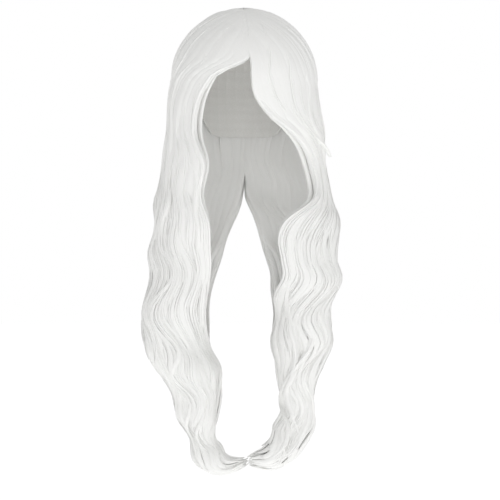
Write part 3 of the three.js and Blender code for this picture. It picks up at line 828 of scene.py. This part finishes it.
# Tones from the lower stop of each ramp to the upper one, and how high the bump stands.
HAIR_TONES = ((0.30, (0.93, 0.93, 0.912, 1)), (0.64, (0.955, 0.955, 0.94, 1)))
CAP_TONES = ((0.1, (0.85, 0.845, 0.82, 1)), (0.8, (0.93, 0.925, 0.905, 1)))
BUMP = 0.0005


def streaks(nodes, flow, across, along):
    """Noise in streaks that run with the hair, so many a metre across it and along it."""
    scaled = nodes.add("ShaderNodeVectorMath", {"operation": "MULTIPLY"}, {0: flow, 1: (across, along, 1.0)})
    fine = {"Vector": scaled, "Scale": 1.0, "Detail": 2.0, "Roughness": 0.55}
    return nodes.add("ShaderNodeTexNoise", None, fine)


def hair_material():
    made, nodes, shader = new_material("white_hair")
    flow = nodes.add("ShaderNodeAttribute", {"attribute_name": "flow"}, output=1)
    fine = streaks(nodes, flow, 2600, 9)
    strand = streaks(nodes, flow, 700, 5)
    broad = streaks(nodes, flow, 130, 3)
    tone = fine * 0.25 + strand * 0.4 + broad * 0.35
    ramp = nodes.add("ShaderNodeValToRGB", {"stops": HAIR_TONES}, {"Fac": tone})
    relief = fine * 0.4 + strand * 0.6
    bump = nodes.add("ShaderNodeBump", None, {"Strength": 0.3, "Distance": BUMP, "Height": relief})
    nodes.feed(shader.inputs["Base Color"], ramp)
    nodes.feed(shader.inputs["Roughness"], strand * 0.25 + 0.42)
    nodes.feed(shader.inputs["Normal"], bump)
    shader.inputs["Specular IOR Level"].default_value = 0.25
    shader.inputs["Sheen Weight"].default_value = 0.12
    shader.inputs["Sheen Roughness"].default_value = 0.4
    return made


def cap_material():
    made, nodes, shader = new_material("net_cap")
    where = nodes.add("ShaderNodeTexCoord", output=3)
    wave = {"Vector": where, "Scale": 26.0, "Distortion": 0.6, "Detail": 1.0}
    rows = nodes.add("ShaderNodeTexWave", {"bands_direction": "Z"}, wave, output=1)
    net = nodes.add("ShaderNodeTexVoronoi", {"feature": "F1"}, {"Vector": where, "Scale": 700.0})
    tone = rows * 0.15 + net * 0.7
    ramp = nodes.add("ShaderNodeValToRGB", {"stops": CAP_TONES}, {"Fac": tone})
    bump = nodes.add("ShaderNodeBump", None, {"Strength": 0.4, "Distance": BUMP, "Height": tone})
    nodes.feed(shader.inputs["Base Color"], ramp)
    nodes.feed(shader.inputs["Normal"], bump)
    shader.inputs["Roughness"].default_value = 0.85
    return made


# The hair, and the cap under it.
FIRST_SEED = 11
SEED_STEP = 7
hair_look = hair_material()
for i, (side_name, mass) in enumerate((side_name, mass) for side_name in SIDES for mass in MASSES):
    piece = hair_mass(side_name, mass, FIRST_SEED + i * SEED_STEP)
    piece.data.materials.append(hair_look)
    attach(piece, "root")
    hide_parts(f"{mass}_{side_name}")

cap = bpy.data.objects["wig_cap"]
cap.data.materials.clear()
cap.data.materials.append(cap_material())

# A pale floor under the hair.
FLOOR = -0.72
FLOOR_SIZE = 12
WHITE = (1, 1, 1, 1)
bpy.ops.mesh.primitive_plane_add(size=FLOOR_SIZE, location=(0, 0, FLOOR))
floor = bpy.context.object
floor.name = "floor"
floor_look, _, floor_shader = new_material("pale_floor")
floor_shader.inputs["Base Color"].default_value = (0.95, 0.95, 0.95, 1)
floor_shader.inputs["Roughness"].default_value = 0.9
floor_shader.inputs["Emission Color"].default_value = WHITE
floor_shader.inputs["Emission Strength"].default_value = 0.47
floor.data.materials.append(floor_look)

# A white ground behind the hair, and a softer light from all round, a little more from above.
AMBIENT = 0.33
OVERHEAD = 0.42
world = bpy.data.worlds.new("studio")
bpy.context.scene.world = world
world.use_nodes = True
sky = Nodes(world.node_tree)
backdrop = world.node_tree.nodes["Background"]
backdrop.inputs["Color"].default_value = WHITE
upward = sky.add("ShaderNodeSeparateXYZ", None, {"Vector": sky.add("ShaderNodeTexCoord")}, output=2)
light = AMBIENT + sky.maths("MAXIMUM", upward, 0.0) * OVERHEAD
seen = sky.add("ShaderNodeLightPath")
sky.feed(backdrop.inputs["Strength"], light + seen * (1 - light))

# Soft lamps that all point at the middle of the hair: place, size and power.
LIT = Vector((0, 0, -0.3))
LIGHTS = {
    "key": ((1.9, -1.7, 0.4), 1.6, 4.5),
    "front": ((0.2, -2.3, -1.3), 2.6, 4),
    "near the camera": ((0.0, -2.7, -0.3), 1.6, 10),
}
for name, (place, size, power) in LIGHTS.items():
    data = bpy.data.lights.new(name, "AREA")
    data.size, data.energy = size, power
    lamp = bpy.data.objects.new(name, data)
    lamp.location = place
    lamp.rotation_euler = (LIT - Vector(place)).to_track_quat("-Z", "Y").to_euler()
    bpy.context.scene.collection.objects.link(lamp)

# The camera looks straight at the front of the hair.
CAMERA_AWAY = 2.0
FRAME_WIDE = 0.68
AIM = Vector((0.008, 0.0, -0.3155))
SENSOR = 36
camera_data = bpy.data.cameras.new("camera")
camera_data.sensor_width = SENSOR
camera_data.lens = SENSOR * CAMERA_AWAY / FRAME_WIDE
camera = bpy.data.objects.new("camera", camera_data)
camera.location = AIM + Vector((0, -CAMERA_AWAY, 0))
camera.rotation_euler = (math.pi / 2, 0, 0)
bpy.context.scene.collection.objects.link(camera)
bpy.context.scene.camera = camera
bpy.context.scene.view_settings.view_transform = "Standard"
